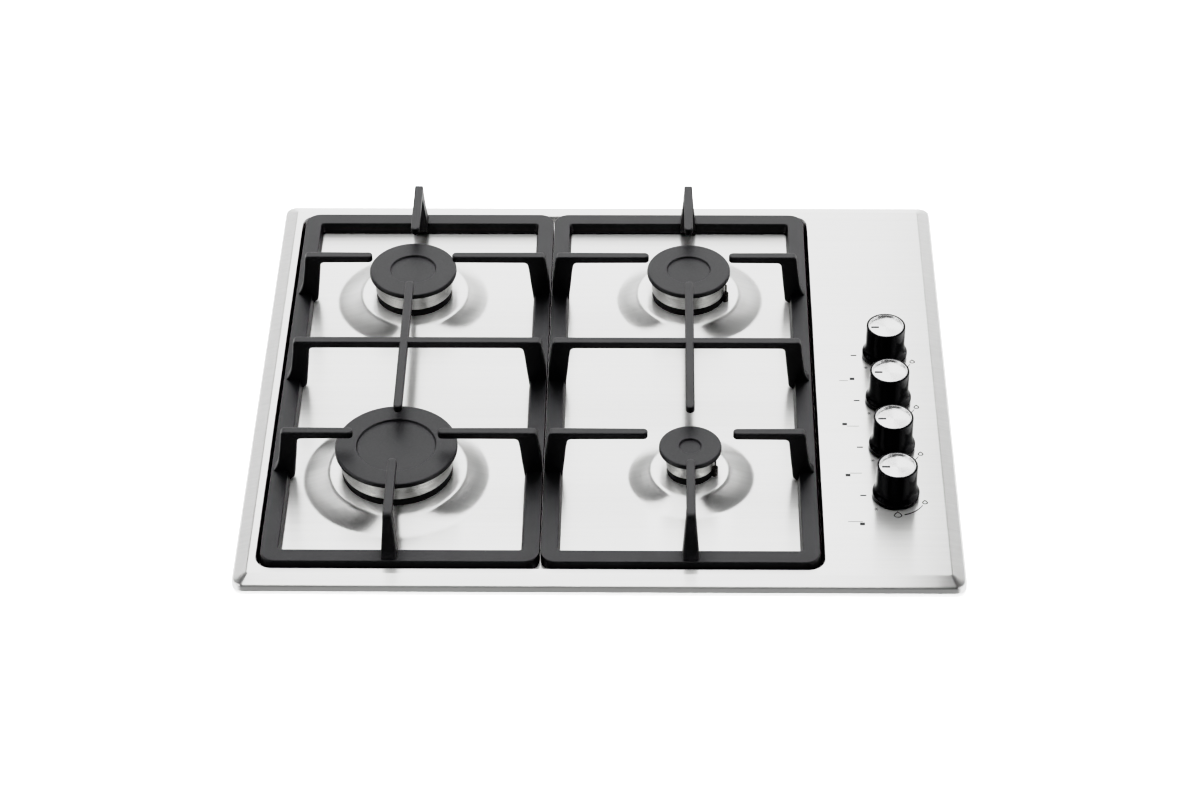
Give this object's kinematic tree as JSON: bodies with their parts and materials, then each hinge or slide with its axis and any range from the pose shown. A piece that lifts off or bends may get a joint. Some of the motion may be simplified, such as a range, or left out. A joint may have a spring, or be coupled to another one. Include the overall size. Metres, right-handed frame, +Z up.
{
  "type": "gas hob",
  "caption": "Built-in gas hob: brushed steel top with sealed burners, lift-off cast pan supports and a side column of push-and-turn knobs over a shallow burner box.",
  "frame": {"origin": "middle of the burner box's underside, which is also the middle of the top plate's outline", "axes": "+X to the user's right, where the knobs are, +Y to the back, +Z up"},
  "size_m": [0.58, 0.504, 0.0924],
  "materials": {
    "plate_steel": "brushed stainless steel, satin",
    "box_steel": "galvanised steel sheet, matt",
    "seal_rubber": "closed-cell foam rubber",
    "gland_rubber": "moulded rubber",
    "generator_plastic": "moulded plastic, matt",
    "manifold_aluminium": "extruded, mill finish",
    "fitting_brass": "machined brass",
    "cup_aluminium": "die-cast, matt black coating",
    "jet_brass": "turned brass",
    "crown_aluminium": "die-cast and turned, bright",
    "cap_enamel": "matt black vitreous enamel on steel",
    "electrode_ceramic": "white sintered ceramic with a steel pin",
    "lead_silicone": "silicone sleeve",
    "tube_aluminium": "drawn tube, mill finish",
    "tap_brass": "forged brass",
    "plug_brass": "ground brass",
    "spindle_steel": "turned steel",
    "face_aluminium": "spun aluminium with a polished bevel",
    "knob_plastic": "gloss black moulding",
    "support_iron": "matt black enamelled cast iron"
  },
  "bodies": {
    "hob": {"top_plate": "plate_steel", "burner_box": "box_steel", "box_ledge": "box_steel", "worktop_seal": "seal_rubber", "mains_cord_gland": "gland_rubber", "spark_generator": "generator_plastic", "gas_manifold": "manifold_aluminium", "gas_inlet_elbow": "fitting_brass", "burner_cup_rear_left": "cup_aluminium", "injector_rear_left": "jet_brass", "spark_electrode_rear_left": "electrode_ceramic", "ignition_lead_rear_left": "lead_silicone", "feed_tube_rear_left": "tube_aluminium", "burner_cup_front_left": "cup_aluminium", "injector_front_left": "jet_brass", "spark_electrode_front_left": "electrode_ceramic", "ignition_lead_front_left": "lead_silicone", "feed_tube_front_left": "tube_aluminium", "burner_cup_rear_right": "cup_aluminium", "injector_rear_right": "jet_brass", "spark_electrode_rear_right": "electrode_ceramic", "ignition_lead_rear_right": "lead_silicone", "feed_tube_rear_right": "tube_aluminium", "burner_cup_front_right": "cup_aluminium", "injector_front_right": "jet_brass", "spark_electrode_front_right": "electrode_ceramic", "ignition_lead_front_right": "lead_silicone", "feed_tube_front_right": "tube_aluminium", "tap_body_front_right": "tap_brass", "tap_body_front_left": "tap_brass", "tap_body_rear_left": "tap_brass", "tap_body_rear_right": "tap_brass"},
    "plug_rear_left": {"tap_plug_rear_left": "plug_brass"},
    "knob_rear_left": {"tap_spindle_rear_left": "spindle_steel", "knob_rear_left": "knob_plastic", "knob_face_rear_left": "face_aluminium"},
    "spreader_rear_left": {"flame_spreader_rear_left": "crown_aluminium"},
    "cap_rear_left": {"burner_cap_rear_left": "cap_enamel"},
    "plug_front_left": {"tap_plug_front_left": "plug_brass"},
    "knob_front_left": {"tap_spindle_front_left": "spindle_steel", "knob_front_left": "knob_plastic", "knob_face_front_left": "face_aluminium"},
    "spreader_front_left": {"flame_spreader_front_left": "crown_aluminium"},
    "cap_front_left": {"burner_cap_front_left": "cap_enamel"},
    "plug_rear_right": {"tap_plug_rear_right": "plug_brass"},
    "knob_rear_right": {"tap_spindle_rear_right": "spindle_steel", "knob_rear_right": "knob_plastic", "knob_face_rear_right": "face_aluminium"},
    "spreader_rear_right": {"flame_spreader_rear_right": "crown_aluminium"},
    "cap_rear_right": {"burner_cap_rear_right": "cap_enamel"},
    "plug_front_right": {"tap_plug_front_right": "plug_brass"},
    "knob_front_right": {"tap_spindle_front_right": "spindle_steel", "knob_front_right": "knob_plastic", "knob_face_front_right": "face_aluminium"},
    "spreader_front_right": {"flame_spreader_front_right": "crown_aluminium"},
    "cap_front_right": {"burner_cap_front_right": "cap_enamel"},
    "support_left": {"pan_support_left": "support_iron"},
    "support_right": {"pan_support_right": "support_iron"}
  },
  "joints": [
    {"name": "knob_front_right_turn", "type": "hinge", "parent": "hob", "child": "plug_front_right", "pos_m": [0.2391, -0.1456, 0.034], "axis": [0, 0, 1], "range_deg": [0, 165]},
    {"name": "knob_front_right_push", "type": "slide", "parent": "plug_front_right", "child": "knob_front_right", "axis": [0, 0, -1], "range_m": [0, 0.002], "stiffness_N_per_m": 800, "springref_m": -0.004},
    {"name": "knob_front_left_turn", "type": "hinge", "parent": "hob", "child": "plug_front_left", "pos_m": [0.2391, -0.08525, 0.034], "axis": [0, 0, 1], "range_deg": [0, 165]},
    {"name": "knob_front_left_push", "type": "slide", "parent": "plug_front_left", "child": "knob_front_left", "axis": [0, 0, -1], "range_m": [0, 0.002], "stiffness_N_per_m": 800, "springref_m": -0.004},
    {"name": "knob_rear_left_turn", "type": "hinge", "parent": "hob", "child": "plug_rear_left", "pos_m": [0.2391, -0.0249, 0.034], "axis": [0, 0, 1], "range_deg": [0, 165]},
    {"name": "knob_rear_left_push", "type": "slide", "parent": "plug_rear_left", "child": "knob_rear_left", "axis": [0, 0, -1], "range_m": [0, 0.002], "stiffness_N_per_m": 800, "springref_m": -0.004},
    {"name": "knob_rear_right_turn", "type": "hinge", "parent": "hob", "child": "plug_rear_right", "pos_m": [0.2391, 0.03545, 0.034], "axis": [0, 0, 1], "range_deg": [0, 165]},
    {"name": "knob_rear_right_push", "type": "slide", "parent": "plug_rear_right", "child": "knob_rear_right", "axis": [0, 0, -1], "range_m": [0, 0.002], "stiffness_N_per_m": 800, "springref_m": -0.004},
    {"name": "spreader_rear_left_lift", "type": "slide", "parent": "hob", "child": "spreader_rear_left", "axis": [0, 0, 1], "range_m": [0, 0.004]},
    {"name": "cap_rear_left_lift", "type": "slide", "parent": "spreader_rear_left", "child": "cap_rear_left", "axis": [0, 0, 1], "range_m": [0, 0.006]},
    {"name": "spreader_front_left_lift", "type": "slide", "parent": "hob", "child": "spreader_front_left", "axis": [0, 0, 1], "range_m": [0, 0.004]},
    {"name": "cap_front_left_lift", "type": "slide", "parent": "spreader_front_left", "child": "cap_front_left", "axis": [0, 0, 1], "range_m": [0, 0.006]},
    {"name": "spreader_rear_right_lift", "type": "slide", "parent": "hob", "child": "spreader_rear_right", "axis": [0, 0, 1], "range_m": [0, 0.004]},
    {"name": "cap_rear_right_lift", "type": "slide", "parent": "spreader_rear_right", "child": "cap_rear_right", "axis": [0, 0, 1], "range_m": [0, 0.006]},
    {"name": "spreader_front_right_lift", "type": "slide", "parent": "hob", "child": "spreader_front_right", "axis": [0, 0, 1], "range_m": [0, 0.004]},
    {"name": "cap_front_right_lift", "type": "slide", "parent": "spreader_front_right", "child": "cap_front_right", "axis": [0, 0, 1], "range_m": [0, 0.006]},
    {"name": "support_left_lift", "type": "slide", "parent": "hob", "child": "support_left", "axis": [0, 0, 1], "range_m": [0, 0.08]},
    {"name": "support_right_lift", "type": "slide", "parent": "hob", "child": "support_right", "axis": [0, 0, 1], "range_m": [0, 0.08]}
  ]
}
